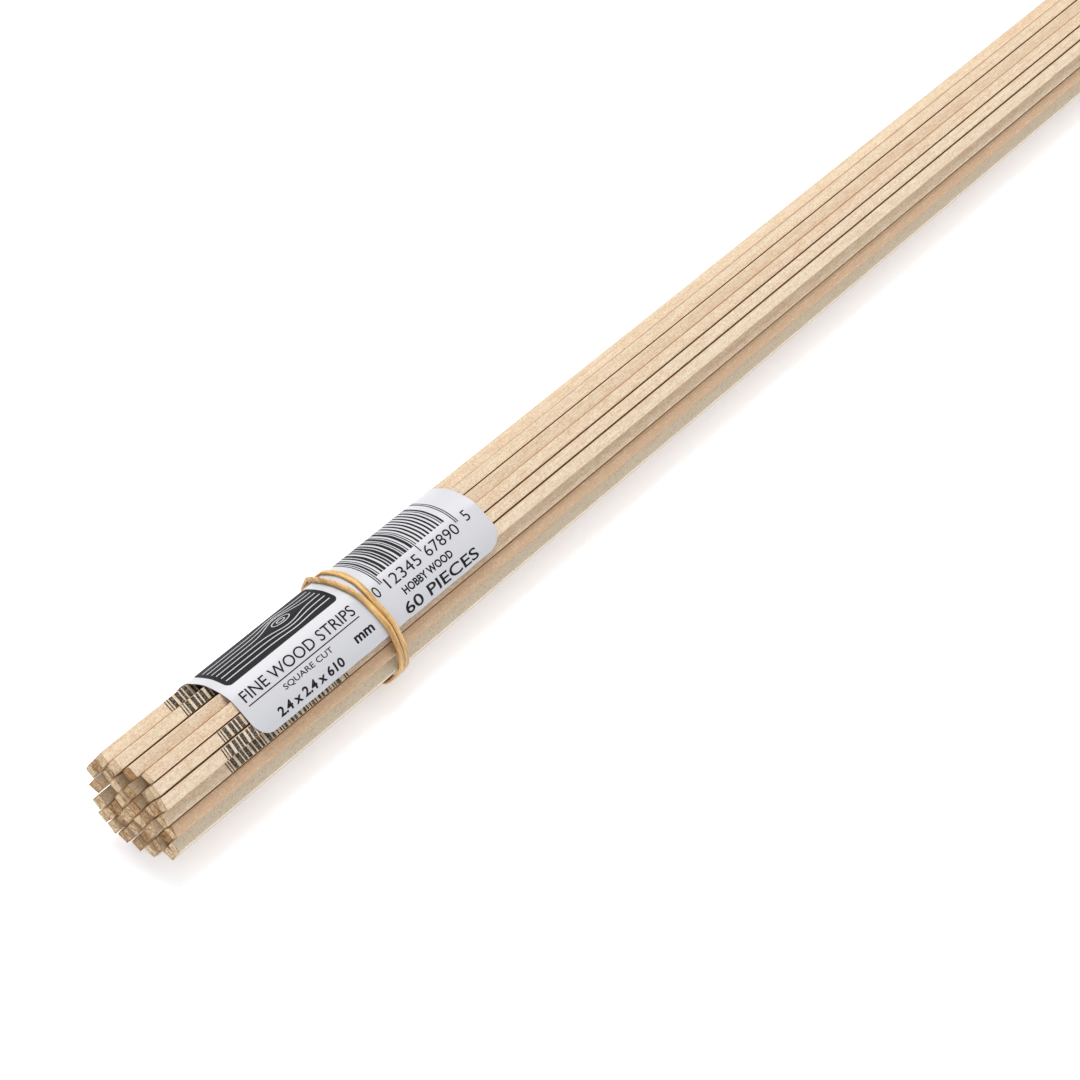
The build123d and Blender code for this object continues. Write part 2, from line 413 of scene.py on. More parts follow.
GRAIN_SHARES = {"streaks": 0.9, "fibres": 0.8, "mottle": 0.6, "blotches": 0.8, "sand": 2.6}
GRAIN_MIDDLE = 2.85  # half the sum of the shares, so that even noise leaves the tone alone
FLECK_COLOUR = (0.40, 0.25, 0.14, 1)
SIDE_CONTRAST, SIDE_FLECKS = 0.85, 0.45
END_CONTRAST, END_FLECKS = 0.9, 0.5
WOOD_RELIEF, END_RELIEF = 0.03 * MM, 0.06 * MM
PAPER_RELIEF, RUBBER_RELIEF = 0.006 * MM, 0.03 * MM
SCRATCHED = 0.65  # share of the plain grain left over the saw's scratches
PAPER_SHADE = 0.955  # the paper's darkest mottle, as a share of its colour


def wood_grain_group():
    """Straight grain with long streaks, fine fibres, short flecks and a soft mottle."""
    name = "Wood grain"
    if name in bpy.data.node_groups:
        return bpy.data.node_groups[name]
    tree, given, result = new_group(
        name,
        [("Place", "Vector"), ("Tone", "Float"), ("Pale", "Color"), ("Warm", "Color"),
         ("Grey", "Color"), ("Contrast", "Float"), ("Flecks", "Float")],
        [("Colour", "Color"), ("Height", "Float"), ("Roughness", "Float")])
    place = given["Place"]
    streaks = noise(tree, place, (0.016, 1.9, 1.9))
    fibres = noise(tree, place, (0.35, 8.0, 8.0))
    mottle = noise(tree, place, (0.22, 0.7, 0.7))
    blotches = noise(tree, place, (0.45, 1.6, 1.6))
    sand = noise(tree, place, (1.9, 3.6, 3.6), 3.0, 0.65)
    grains = noise(tree, place, (2.2, 5.0, 5.0), 1.0)
    flecks = spread_out(tree, grains, 0.56, 0.68)
    mixed = work_out(tree, "MULTIPLY", streaks, GRAIN_SHARES["streaks"])
    for part, layer in ((fibres, "fibres"), (mottle, "mottle"), (blotches, "blotches"),
                        (sand, "sand")):
        mixed = work_out(tree, "MULTIPLY_ADD", part, GRAIN_SHARES[layer], mixed)
    mixed = work_out(tree, "SUBTRACT", mixed, GRAIN_MIDDLE)
    mixed = work_out(tree, "MULTIPLY", mixed, given["Contrast"])
    warmth = work_out(tree, "MAXIMUM", given["Tone"], 0.0)
    tone = work_out(tree, "ADD", mixed, warmth, clamp=True)
    grey_share = work_out(tree, "MULTIPLY", given["Tone"], -1.0, clamp=True)
    fresh = between(tree, tone, given["Pale"], given["Warm"])
    grey_mix = between(tree, tone, given["Grey"], given["Pale"])
    clean = between(tree, grey_share, fresh, grey_mix)
    marked = work_out(tree, "MULTIPLY", flecks, given["Flecks"])
    tree.links.new(between(tree, marked, clean, FLECK_COLOUR), result["Colour"])
    height = work_out(tree, "SUBTRACT", fibres, work_out(tree, "MULTIPLY", flecks, 0.5))
    tree.links.new(height, result["Height"])
    tree.links.new(work_out(tree, "MULTIPLY_ADD", fibres, 0.25, 0.50), result["Roughness"])
    return tree


def print_wear_group():
    """Ink that is worn through in specks to the colour under it."""
    name = "Print wear"
    if name in bpy.data.node_groups:
        return bpy.data.node_groups[name]
    tree, given, result = new_group(
        name,
        [("Place", "Vector"), ("Ink", "Color"), ("Under", "Color"), ("Wear", "Float")],
        [("Colour", "Color"), ("Roughness", "Float")])
    specks = noise(tree, given["Place"], (3.0, 6.5, 6.5), 2.0, 0.6)
    worn = work_out(tree, "MULTIPLY", spread_out(tree, specks, 0.50, 0.72), given["Wear"],
                    clamp=True)
    tree.links.new(between(tree, worn, given["Ink"], given["Under"]), result["Colour"])
    tree.links.new(work_out(tree, "MULTIPLY_ADD", specks, 0.2, 0.42), result["Roughness"])
    return tree


def new_material(name):
    """A material, its node tree and its Principled shader."""
    material = bpy.data.materials.new(name)
    material.use_nodes = True
    tree = material.node_tree
    return material, tree, tree.nodes["Principled BSDF"]


def attribute(tree, name, output="Vector"):
    return add_node(tree, "ShaderNodeAttribute", attribute_name=name).outputs[output]


def add_bump(tree, shader, height, depth, strength=1.0):
    bump = add_node(tree, "ShaderNodeBump",
                    {"Height": height, "Distance": depth, "Strength": strength})
    tree.links.new(bump.outputs["Normal"], shader.inputs["Normal"])


def opaque(colour):
    return (*colour, 1.0)


def grain_node(tree, pale, warm, grey, contrast, flecks):
    """The wood grain group, read at the strip's own place in the wood."""
    node = add_node(tree, "ShaderNodeGroup", node_tree=wood_grain_group())
    tree.links.new(attribute(tree, "grain"), node.inputs["Place"])
    tree.links.new(attribute(tree, "tone", "Fac"), node.inputs["Tone"])
    node.inputs["Pale"].default_value = opaque(pale)
    node.inputs["Warm"].default_value = opaque(warm)
    node.inputs["Grey"].default_value = opaque(grey)
    node.inputs["Contrast"].default_value = contrast
    node.inputs["Flecks"].default_value = flecks
    return node


def side_grain_node(tree, settings):
    return grain_node(tree, settings.pale_wood, settings.warm_wood, settings.grey_wood,
                      SIDE_CONTRAST, SIDE_FLECKS)


def print_wear_node(tree, place, ink, wear):
    """The print wear group, read at a place; what lies under the ink is left to set."""
    node = add_node(tree, "ShaderNodeGroup", node_tree=print_wear_group())
    tree.links.new(attribute(tree, place), node.inputs["Place"])
    node.inputs["Ink"].default_value = opaque(ink)
    node.inputs["Wear"].default_value = wear
    return node


def side_wood_material(settings):
    """Sawn wood along the grain."""
    material, tree, shader = new_material("Sawn strip side")
    grain = side_grain_node(tree, settings)
    tree.links.new(grain.outputs["Colour"], shader.inputs["Base Color"])
    tree.links.new(grain.outputs["Roughness"], shader.inputs["Roughness"])
    shader.inputs["Specular IOR Level"].default_value = 0.35
    add_bump(tree, shader, grain.outputs["Height"], WOOD_RELIEF)
    return material


def end_wood_material(settings):
    """End grain: the pores as dots, under faint scratches from the saw."""
    material, tree, shader = new_material("Sawn strip end")
    grain = grain_node(tree, settings.pale_end, settings.dark_end, settings.pale_end,
                       END_CONTRAST, END_FLECKS)
    scratches = noise(tree, attribute(tree, "grain"), (0.4, 1.2, 16.0))
    shade = spread_out(tree, scratches, 0.25, 0.62)
    scratched = between(tree, shade, opaque(settings.dark_end), grain.outputs["Colour"])
    tree.links.new(between(tree, SCRATCHED, scratched, grain.outputs["Colour"]),
                   shader.inputs["Base Color"])
    shader.inputs["Roughness"].default_value = 0.85
    shader.inputs["Specular IOR Level"].default_value = 0.2
    add_bump(tree, shader, work_out(tree, "ADD", grain.outputs["Height"], scratches), END_RELIEF)
    return material


def bar_ink_material(settings):
    """Ink stamped on bare wood, with the fibres showing through it."""
    material, tree, shader = new_material("Ink on bare wood")
    grain = side_grain_node(tree, settings)
    worn = print_wear_node(tree, "grain", settings.ink, 0.55)
    tree.links.new(grain.outputs["Colour"], worn.inputs["Under"])
    tree.links.new(worn.outputs["Colour"], shader.inputs["Base Color"])
    tree.links.new(worn.outputs["Roughness"], shader.inputs["Roughness"])
    shader.inputs["Specular IOR Level"].default_value = 0.35
    add_bump(tree, shader, grain.outputs["Height"], WOOD_RELIEF)
    return material


def paper_material(settings):
    """Smooth, faintly mottled label paper."""
    material, tree, shader = new_material("Label paper")
    place = attribute(tree, "sheet")
    fibres = noise(tree, place, (3.0, 3.0, 3.0), 3.0, 0.6)
    clouds = noise(tree, place, (0.10, 0.10, 0.10))
    shade = spread_out(tree, work_out(tree, "ADD", fibres, clouds), 0.6, 1.4)
    dull = [PAPER_SHADE * part for part in settings.paper]
    tree.links.new(between(tree, shade, opaque(dull), opaque(settings.paper)),
                   shader.inputs["Base Color"])
    tree.links.new(work_out(tree, "MULTIPLY_ADD", fibres, 0.15, 0.30),
                   shader.inputs["Roughness"])
    shader.inputs["Specular IOR Level"].default_value = 0.5
    add_bump(tree, shader, fibres, PAPER_RELIEF)
    return material


def label_ink_material(settings):
    """Print on the paper, with a few pinholes."""
    material, tree, shader = new_material("Ink on label paper")
    worn = print_wear_node(tree, "sheet", settings.ink, 0.05)
    worn.inputs["Under"].default_value = opaque(settings.paper)
    tree.links.new(worn.outputs["Colour"], shader.inputs["Base Color"])
    tree.links.new(worn.outputs["Roughness"], shader.inputs["Roughness"])
    shader.inputs["Specular IOR Level"].default_value = 0.12
    return material


def rubber_material(settings):
    """Natural rubber: a warm body with streaks drawn out along its length."""
    material, tree, shader = new_material("Natural rubber")
    place = attribute(tree, "run")
    streaks = noise(tree, place, (0.10, 1.6, 2.4), 3.0, 0.6)
    bloom = noise(tree, place, (1.5, 4.0, 4.0), 2.0)
    tone = spread_out(tree, work_out(tree, "MULTIPLY_ADD", bloom, 0.35, streaks), 0.45, 0.85)
    tree.links.new(between(tree, tone, opaque(settings.pale_rubber),
                           opaque(settings.dark_rubber)), shader.inputs["Base Color"])
    tree.links.new(work_out(tree, "MULTIPLY_ADD", bloom, 0.2, 0.32), shader.inputs["Roughness"])
    shader.inputs["Specular IOR Level"].default_value = 0.5
    shader.inputs["Subsurface Weight"].default_value = 0.25
    shader.inputs["Subsurface Radius"].default_value = (1.0, 0.6, 0.3)
    shader.inputs["Subsurface Scale"].default_value = 0.5 * MM
    add_bump(tree, shader, work_out(tree, "ADD", streaks, bloom), RUBBER_RELIEF)
    return material


# ---------------------------------------------------------------- meshes
def new_piece(name, points, faces, materials, slots=None, smooth=None):
    """A mesh object; slots and smooth give each face's material and whether it is smooth."""
    mesh = bpy.data.meshes.new(name)
    mesh.from_pydata([tuple(point) for point in points], [], faces)
    for material in materials:
        mesh.materials.append(material)
    if slots:
        mesh.polygons.foreach_set("material_index", slots)
    mesh.polygons.foreach_set("use_smooth", smooth or [True] * len(faces))
    mesh.validate()
    piece = bpy.data.objects.new(name, mesh)
    bpy.context.scene.collection.objects.link(piece)
    return piece


def set_attribute(piece, name, values):
    """Gives each point of a piece a vector or a number for its material to read."""
    if isinstance(values[0], (int, float)):
        layer = piece.data.attributes.new(name, "FLOAT", "POINT")
        layer.data.foreach_set("value", values)
        return
    layer = piece.data.attributes.new(name, "FLOAT_VECTOR", "POINT")
    layer.data.foreach_set("vector", [part for value in values for part in value])


def even_normals(piece):
    """Keeps wide faces looking flat where they meet narrow rounded ones."""
    piece.modifiers.new("Even normals", "WEIGHTED_NORMAL").keep_sharp = True


# ---------------------------------------------------------------- the wood strips
SIDES, ARC_POINTS = 4, 3
RING = SIDES * ARC_POINTS


def bar_pattern(seed, modules):
    """Bars of one to three modules with gaps between them, as (start, end) in modules."""
    draw = random.Random(seed)
    bars = [(0, 1), (2, 3)]
    place = 4
    while place < modules - 7:
        width = draw.choice((1, 2, 2, 3))
        bars.append((place, place + width))
        place += width + draw.choice((1, 1, 2))
    return bars + [(modules - 3, modules - 2), (modules - 1, modules)]


WOOD_BARS = bar_pattern(seed=11, modules=107)


class StripShape:
    """Collects the points and faces of a strip: rings along it and a sawn cap at each end."""

    SIDE, END, INK = range(3)  # material slots
    STATION_GAP = 15 * MM
    END_STATIONS = (0.8 * MM, 2.5 * MM, 7 * MM)
    SAME_STATION = 0.01 * MM
    WAVES = 3  # sine waves that add up to a side's wobble
    WAVE_RATES = (0.02, 0.30)  # radians in 10 mm
    LEAST_RADIUS, RADIUS_RANGE = 0.45, 1.1  # shares of the edge radius
    SKEW = 0.20  # millimetres that an end leans at its sides
    CHIPS = (0.3, 1.0)  # shares of the deepest chip
    END_BEVEL = 0.05 * MM
    # The added tone makes each sawn end darker towards its rim.
    CAP_RINGS = ((0.95, 0.75), (0.80, 0.10), (0.50, 0.0), (0.25, 0.0))  # size, added tone

    def __init__(self, strip, settings, ink_side, print_shift):
        self.strip = strip
        self.settings = settings
        self.ink_side = ink_side
        self.draw = random.Random(strip.seed)
        self.points, self.grain, self.tone = [], [], []
        self.faces, self.slots, self.smooth = [], [], []
        self.waves = [[self.new_wave() for _ in range(self.WAVES)] for _ in range(2 * SIDES)]
        self.bars = self.bars_along(print_shift)
        rings = [self.add_ring(x) for x in self.stations()]
        for near, far in zip(rings, rings[1:]):
            self.join(near, far)
        self.add_cap(rings[0], strip.start, 1)
        self.add_cap(rings[-1], strip.end, -1)

    def new_wave(self):
        """A sine wave's rate along the strip and its phase."""
        rate = self.draw.uniform(*self.WAVE_RATES) / MM / 10
        return rate, self.draw.uniform(0, math.tau)

    def bars_along(self, shift):
        if self.ink_side is None:
            return []
        origin = self.strip.start + self.settings.print_start + shift
        module = self.settings.print_module
        return [(origin + a * module, origin + b * module) for a, b in WOOD_BARS]

    def stations(self):
        start, end = self.strip.start, self.strip.end
        count = round((end - start) / self.STATION_GAP)
        found = [start + (end - start) * i / count for i in range(count + 1)]
        found += [start + gap for gap in self.END_STATIONS]
        found += [end - gap for gap in self.END_STATIONS]
        found += [edge for bar in self.bars for edge in bar]
        found.sort()
        return [x for i, x in enumerate(found) if i == 0 or x - found[i - 1] > self.SAME_STATION]

    def wave(self, index, x):
        """A slow wobble along the strip, from 0 to 1."""
        total = sum(math.sin(rate * x + phase) for rate, phase in self.waves[index])
        return 0.5 + total / (2 * self.WAVES)

    def section(self, x):
        """The rounded square at x, as points (p, q)."""
        sides = [self.strip.half - self.settings.unevenness * self.wave(side, x)
                 for side in range(SIDES)]
        found = []
        for corner, (a, b) in enumerate(((1, 1), (-1, 1), (-1, -1), (1, -1))):
            share = self.LEAST_RADIUS + self.RADIUS_RANGE * self.wave(SIDES + corner, x)
            radius = self.settings.edge_radius * share
            p = a * (sides[0 if a > 0 else 2] - radius)
            q = b * (sides[1 if b > 0 else 3] - radius)
            for step in range(ARC_POINTS):
                turn = math.pi / 2 * (corner + step / (ARC_POINTS - 1))
                found.append((p + radius * math.cos(turn), q + radius * math.sin(turn)))
        return found

    def add_point(self, x, p, q, tone):
        self.points.append(self.strip.place(x, p, q))
        self.grain.append(Vector((x, p, q)) + self.strip.offset)
        self.tone.append(tone)
        return len(self.points) - 1

    def add_ring(self, x):
        """A ring of points at x; the middle of each rounded corner is painted browner, as painted
        shade in the seams between strips.
        """
        # painted seam shade on the middle point of each rounded edge
        seam_shaded = self.strip.tone + self.settings.painted_seam_shade
        return [self.add_point(x, p, q, seam_shaded if i % ARC_POINTS == 1 else self.strip.tone)
                for i, (p, q) in enumerate(self.section(x))]

    def side_of(self, edge):
        """The side that the ring's edge from one point to the next belongs to."""
        corner, step = divmod(edge, ARC_POINTS)
        return corner if step == 0 else (corner + 1) % SIDES

    def join(self, near, far):
        x = (self.points[near[0]].x + self.points[far[0]].x) / 2
        printed = any(a < x < b for a, b in self.bars)
        for i in range(RING):
            k = (i + 1) % RING
            self.faces.append((near[i], near[k], far[k], far[i]))
            inked = printed and self.side_of(i) == self.ink_side
            self.slots.append(self.INK if inked else self.SIDE)
            self.smooth.append(True)

    def add_cap(self, ring, x, inward):
        """Closes an end with a slightly skewed, rough face that may have a chipped corner."""
        half = self.strip.half
        section = self.section(x)
        skew_p, skew_q = (self.draw.uniform(-self.SKEW, self.SKEW) * MM for _ in range(2))
        chipped = self.draw.choice((None, 0, 1, 2, 3))
        chip = self.draw.uniform(*self.CHIPS) * self.settings.end_chip

        def depth(p, q):
            cut = abs(skew_p) + abs(skew_q) + skew_p * p / half + skew_q * q / half
            return cut + self.draw.uniform(0, self.settings.end_wear)

        for i, (p, q) in enumerate(section):
            setback = depth(p, q) + self.END_BEVEL
            if chipped is not None and i // ARC_POINTS == chipped:
                setback += chip
            self.points[ring[i]] = self.strip.place(x + inward * setback, p, q)
        outer = ring
        for share, rim_darkening in self.CAP_RINGS:
            inner = [self.add_point(x + inward * depth(p, q), p * share, q * share,
                                    self.strip.end_tone + rim_darkening) for p, q in section]
            self.cap_faces(outer, inner, inward)
            outer = inner
        middle = self.add_point(x + inward * depth(0, 0), 0, 0, self.strip.end_tone)
        self.cap_faces(outer, [middle] * RING, inward)

    def cap_faces(self, outer, inner, inward):
        for i in range(RING):
            k = (i + 1) % RING
            corners = list(dict.fromkeys([outer[k], outer[i], inner[i], inner[k]]))
            self.faces.append(tuple(corners if inward > 0 else reversed(corners)))
            self.slots.append(self.END)
            self.smooth.append(False)


def ink_side_of(node, strip):
    """The side that carries the printed bars; on some front strips it faces inwards."""
    if node == CORE_NODE:
        return None
    if node in FRONT_PRINTED:
        return strip.side_facing(FRONT)
    if node in FRONT_TONES_AND_SHADE:
        return strip.side_facing(FRONT + 180)
    return random.Random(strip.seed + 5).choice((None, 0, 1, 2, 3))


def build_strips(settings):
    materials = [side_wood_material(settings), end_wood_material(settings),
                 bar_ink_material(settings)]
    for node, group in strips.items():
        points, faces, slots, smooth, grain, tone = [], [], [], [], [], []
        for strip in group:
            shift = FRONT_PRINTED.get(node, strip.print_shift)
            shape = StripShape(strip, settings, ink_side_of(node, strip), shift)
            first = len(points)
            points += shape.points
            faces += [tuple(first + corner for corner in face) for face in shape.faces]
            slots += shape.slots
            smooth += shape.smooth
            grain += shape.grain
            tone += shape.tone
        piece = new_piece(node + "_wood", points, faces, materials, slots, smooth)
        set_attribute(piece, "grain", grain)
        set_attribute(piece, "tone", tone)
        even_normals(piece)
        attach(piece, BODY_OF_NODE[node])
        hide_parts(node)


# ---------------------------------------------------------------- the label
class Sheet:
    """Where the label's paper lies.

    u runs along it from its near edge and v up from its front edge, both in metres.
    """

    CURL_WIDTH = 2.6 * MM
    LEAST_CURL, CURL_RANGE = 0.55, 0.45  # shares of the edge curl, along an edge
    CURL_RATE = 0.9  # radians in a millimetre

    def __init__(self, settings):
        self.settings = settings
        low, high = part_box(LABEL_NODE)
        self.start = low.x
        self.length = high.x - low.x
        self.front = math.degrees(settings.front_edge)
        self.back = math.degrees(settings.back_edge)
        angles = range(round(self.back), round(self.front) + 1)
        self.radius = sum(wrap.reach(angle) for angle in angles) / len(angles)
        self.width = math.radians(self.front - self.back) * self.radius

    def curl(self, u, v):
        """How far the paper has lifted at its edges."""
        lifted = 0.0
        for gap, wander in ((u, v), (self.length - u, v), (v, u)):
            near = max(0.0, 1 - gap / self.CURL_WIDTH)
            wave = math.sin(self.CURL_RATE * wander / MM + gap)
            lifted = max(lifted, near * near * (self.LEAST_CURL + self.CURL_RANGE * wave))
        return lifted * self.settings.edge_curl

    def point(self, u, v, height):
        """The point at (u, v), so high above the underside of the paper."""
        angle = self.front - math.degrees(v / self.radius)
        lift = self.settings.glue + self.curl(u, v) + height
        return wrap.point(self.start + u, angle, lift)


CORNER_STEPS = 10
ROW_GAP, COLUMN_GAP = 0.25 * MM, 0.8 * MM


def corner_steps(corner, steps):
    """Distances into a rounded corner, close together where it is steepest."""
    return [corner * (1 - math.cos(math.pi / 2 * i / steps)) for i in range(steps + 1)]


def rounded_grid(length, width, corner, step):
    """Columns of points (u, v) that fill a rectangle with rounded corners."""
    into = corner_steps(corner, CORNER_STEPS)
    middle = max(1, round((length - 2 * corner) / step))
    us = into + [corner + (length - 2 * corner) * i / middle for i in range(1, middle)]
    us += [length - u for u in reversed(into)]
    rows = max(2, round(width / ROW_GAP))
    columns = []
    for u in us:
        gap = corner - min(u, length - u, corner)
        inset = corner - math.sqrt(corner * corner - gap * gap)
        columns.append([(u, inset + (width - 2 * inset) * k / rows) for k in range(rows + 1)])
    return columns


def slab(columns, top, bottom):
    """Points and faces of a closed sheet; top and bottom turn (u, v) into points."""
    rows = len(columns[0])
    points = [top(u, v) for column in columns for u, v in column]
    under = len(points)
    points += [bottom(u, v) for column in columns for u, v in column]
    faces = []
    for i in range(len(columns) - 1):
        for k in range(rows - 1):
            a, b = i * rows + k, (i + 1) * rows + k
            faces.append((a, b, b + 1, a + 1))
            faces.append((under + a + 1, under + b + 1, under + b, under + a))
    last = (len(columns) - 1) * rows
    rim = [i * rows for i in range(len(columns))] + [last + k for k in range(1, rows)]
    rim += [i * rows + rows - 1 for i in range(len(columns) - 2, -1, -1)]
    rim += list(range(rows - 2, 0, -1))
    for a, b in zip(rim, rim[1:] + rim[:1]):
        faces.append((b, a, under + a, under + b))
    return points, faces


def build_label(settings):
    sheet = Sheet(settings)
    columns = rounded_grid(sheet.length, sheet.width, settings.corner, COLUMN_GAP)
    thickness = settings.thickness
    points, faces = slab(columns, lambda u, v: sheet.point(u, v, thickness),
                         lambda u, v: sheet.point(u, v, 0))
    piece = new_piece("label_paper", points, faces, [paper_material(settings)])
    flat = [(u, v, 0.0) for column in columns for u, v in column]
    set_attribute(piece, "sheet", flat + flat)
    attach(piece, ROOT)
    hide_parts(LABEL_NODE)


# ---------------------------------------------------------------- the label's print
class LabelPrint:
    """Thin closed patches of ink and of bare paper on the label. Sizes are in millimetres."""

    INK, PAPER = 0, 1
    HEIGHTS = ((0.012, -0.010), (0.022, 0.004))  # top and underside, over the paper
    STEP = 0.3  # between cuts round the bundle, where the paper bends
    LONG_STEP = 1.0  # between points along it, where the paper is straight
    SAME_POINT = 1e-5

    def __init__(self, settings):
        self.sheet = Sheet(settings)
        self.thickness = settings.thickness
        self.points, self.flat, self.faces, self.slots = [], [], [], []

    def add(self, points, faces, layer):
        """Adds flat points (u, v) and their faces as a closed patch that follows the paper."""
        first = len(self.points)
        for height in self.HEIGHTS[layer]:
            lift = self.thickness + height * MM
            for u, v in points:
                self.points.append(self.sheet.point(u * MM, v * MM, lift))
                self.flat.append((u * MM, v * MM, 0.0))
        under = first + len(points)
        edges = {}
        for face in faces:
            self.faces.append(tuple(first + i for i in face))
            self.faces.append(tuple(under + i for i in reversed(face)))
            for a, b in zip(face, face[1:] + face[:1]):
                edges[(a, b)] = True
        for a, b in edges:
            if (b, a) not in edges:
                self.faces.append((first + b, first + a, under + a, under + b))
        self.slots += [layer] * (len(self.faces) - len(self.slots))

    def ribbon(self, line, width, layer):
        """A line of the given width through points (u, v)."""
        points, faces = [], []
        for i, (u, v) in enumerate(line):
            before, after = line[max(i - 1, 0)], line[min(i + 1, len(line) - 1)]
            aim = Vector((after[0] - before[0], after[1] - before[1])).normalized() * width / 2
            points += [(u + aim.y, v - aim.x), (u - aim.y, v + aim.x)]
        for i in range(0, len(points) - 2, 2):
            faces.append([i, i + 2, i + 3, i + 1])
        self.add(points, faces, layer)

    def bar(self, u0, u1, v0, v1):
        """A straight bar across the label."""
        steps = max(1, round((v1 - v0) / self.STEP))
        middle = (u0 + u1) / 2
        line = [(middle, v0 + (v1 - v0) * i / steps) for i in range(steps + 1)]
        self.ribbon(line, u1 - u0, self.INK)

    def rule(self, u0, u1, v, width):
        steps = max(1, round((u1 - u0) / self.LONG_STEP))
        line = [(u0 + (u1 - u0) * i / steps, v) for i in range(steps + 1)]
        self.ribbon(line, width, self.INK)

    def panel(self, u0, u1, v0, v1, corner):
        columns = rounded_grid((u1 - u0) * MM, (v1 - v0) * MM, corner * MM,
                               self.LONG_STEP * MM)
        rows = len(columns[0])
        points = [(u0 + u / MM, v0 + v / MM) for column in columns for u, v in column]
        faces = [[i * rows + k, (i + 1) * rows + k, (i + 1) * rows + k + 1, i * rows + k + 1]
                 for i in range(len(columns) - 1) for k in range(rows - 1)]
        self.add(points, faces, self.INK)

    def words(self, text, u0, u1, v0, v1, weight=0.0):
        """A line of plain lettering, fitted to its box and cut so that it bends with the paper."""
        curve = bpy.data.curves.new("lettering", "FONT")
        curve.body = text
        curve.offset = weight
        curve.resolution_u = 4
        holder = bpy.data.objects.new("lettering", curve)
        bpy.context.scene.collection.objects.link(holder)
        bpy.context.view_layer.update()
        letters = bpy.data.meshes.new_from_object(
            holder.evaluated_get(bpy.context.evaluated_depsgraph_get()))
        shape = bmesh.new()
        shape.from_mesh(letters)
        bpy.data.objects.remove(holder)
        bpy.data.curves.remove(curve)
        bpy.data.meshes.remove(letters)
        bmesh.ops.remove_doubles(shape, verts=shape.verts, dist=self.SAME_POINT)
        self.fit(shape, (u0, u1), (v0, v1))
        for i in range(1, int((v1 - v0) / self.STEP) + 1):
            everything = shape.verts[:] + shape.edges[:] + shape.faces[:]
            bmesh.ops.bisect_plane(shape, geom=everything, plane_co=(0, v0 + i * self.STEP, 0),
                                   plane_no=(0, 1, 0))
        shape.verts.index_update()
        shape.normal_update()
        points = [(vert.co.x, vert.co.y) for vert in shape.verts]
        faces = [[vert.index for vert in face.verts] for face in shape.faces]
        faces = [face if shape.faces[:][i].normal.z > 0 else face[::-1]
                 for i, face in enumerate(faces)]
        shape.free()
        self.add(points, faces, self.INK)

    def fit(self, shape, u_range, v_range):
        """Scales flat lettering to fill a box."""
        for axis, (low, high) in enumerate((u_range, v_range)):
            values = [vert.co[axis] for vert in shape.verts]
            least, span = min(values), max(values) - min(values)
            for vert in shape.verts:
                vert.co[axis] = low + (vert.co[axis] - least) * (high - low) / span


# The grain panel, in millimetres.
PANEL = (2.0, 32.0, 11.4, 20.8)
PANEL_CORNER = 1.2
KNOT = (21.5, 16.4)
KNOT_LENGTH, KNOT_HEIGHT = 2.2, 1.0
KNOT_RINGS = (0.45, 1.0)  # shares of the knot's size
KNOT_STEPS = 28
GRAIN_LINES = (-3.6, -2.4, -1.2, 0.0, 1.2, 2.4)  # how far each lies above the knot
LINE_WIDTH, LINE_STEPS = 0.20, 56
END_MARGIN, SIDE_MARGIN = 1.0, 0.4
SWELL, SWELL_LENGTH, SWELL_FADE = 1.9, 4.0, 2.2  # how the lines part round the knot


def draw_grain_panel(ink):
    """A dark panel with pale grain lines that part round a knot."""
    u0, u1, v0, v1 = PANEL
    ink.panel(u0, u1, v0, v1, PANEL_CORNER)
    knot_u, knot_v = KNOT
    for offset in GRAIN_LINES:
        side = 1 if offset >= 0 else -1
        line = []
        for i in range(LINE_STEPS + 1):
            u = u0 + END_MARGIN + (u1 - u0 - 2 * END_MARGIN) * i / LINE_STEPS
            near = math.exp(-((u - knot_u) / SWELL_LENGTH) ** 2)
            swell = side * SWELL * near * math.exp(-abs(offset) / SWELL_FADE)
            v = knot_v + offset + swell
            line.append((u, min(max(v, v0 + SIDE_MARGIN), v1 - SIDE_MARGIN)))
        ink.ribbon(line, LINE_WIDTH, ink.PAPER)
    for size in KNOT_RINGS:
        turns = [math.tau * i / KNOT_STEPS for i in range(KNOT_STEPS + 1)]
        ink.ribbon([(knot_u + KNOT_LENGTH * size * math.cos(t),
                     knot_v + KNOT_HEIGHT * size * math.sin(t)) for t in turns],
                   LINE_WIDTH, ink.PAPER)


# The bars on the label, in millimetres.
BARS_START, BAR_MODULE, BAR_MODULES = 40.0, 0.242, 95
BAR_TOP, BAR_FOOT, LONG_BAR_FOOT = 22.7, 10.1, 8.4
OUTER_MODULES, MIDDLE_MODULES = 4, 2  # where the longer bars stand


def draw_barcode(ink):
    """Plain bars in no real code, the outer and middle ones longer."""
    u0, module, modules = BARS_START, BAR_MODULE, BAR_MODULES
    for start, end in bar_pattern(seed=23, modules=modules):
        outer = start < OUTER_MODULES or end > modules - OUTER_MODULES
        longer = outer or abs(start - modules / 2) < MIDDLE_MODULES
        ink.bar(u0 + start * module, u0 + end * module,
                LONG_BAR_FOOT if longer else BAR_FOOT, BAR_TOP)


